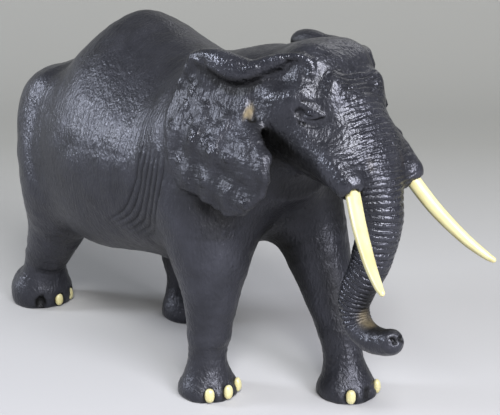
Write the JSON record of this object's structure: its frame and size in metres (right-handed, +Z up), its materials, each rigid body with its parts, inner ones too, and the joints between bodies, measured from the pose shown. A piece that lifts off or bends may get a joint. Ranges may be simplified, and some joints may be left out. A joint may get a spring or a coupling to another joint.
{
  "type": "still bank",
  "caption": "Hollow cast iron elephant still bank, walking, with inset tusks and toenails, a coin slot in the back and a screwed belly cover.",
  "frame": {"origin": "on the floor, under the middle of the bounding box", "axes": "+X is the way the elephant walks and the long way of the body, +Y its left side, +Z up; the soles stand on z = 0"},
  "size_m": [0.2079, 0.076, 0.1194],
  "materials": {
    "blackened_iron": "semi-gloss blackened, fine tool lines",
    "cream_inset": "satin, bone-like cream",
    "screw_steel": "darkened"
  },
  "bodies": {
    "casting": {"body_casting": "blackened_iron", "tusk_right": "cream_inset", "tusk_left": "cream_inset", "toenail_front_right_outer": "cream_inset", "toenail_front_right_middle": "cream_inset", "toenail_front_right_inner": "cream_inset", "toenail_front_left_outer": "cream_inset", "toenail_front_left_inner": "cream_inset", "toenail_hind_right_middle": "cream_inset", "toenail_hind_right_inner": "cream_inset", "toenail_hind_left_outer": "cream_inset", "toenail_hind_left_middle": "cream_inset", "toenail_hind_left_inner": "cream_inset"},
    "cover": {"belly_cover": "blackened_iron"},
    "rear_screw": {"cover_screw_rear": "screw_steel"},
    "front_screw": {"cover_screw_front": "screw_steel"}
  },
  "joints": [
    {"name": "cover_drop", "type": "slide", "parent": "casting", "child": "cover", "axis": [0, 0, -1], "range_m": [0, 0.00953]},
    {"name": "rear_screw_turn", "type": "hinge", "parent": "cover", "child": "rear_screw", "pos_m": [-0.033, 0, 0.045], "axis": [0, 0, -1], "range_deg": [0, 4320]},
    {"name": "front_screw_turn", "type": "hinge", "parent": "cover", "child": "front_screw", "pos_m": [0.002, 0, 0.045], "axis": [0, 0, -1], "range_deg": [0, 4320]}
  ],
  "couplings": [
    {"joint": "rear_screw_turn", "follows": "cover_drop", "rad_per_m": 7913.3},
    {"joint": "front_screw_turn", "follows": "cover_drop", "rad_per_m": 7913.3}
  ]
}
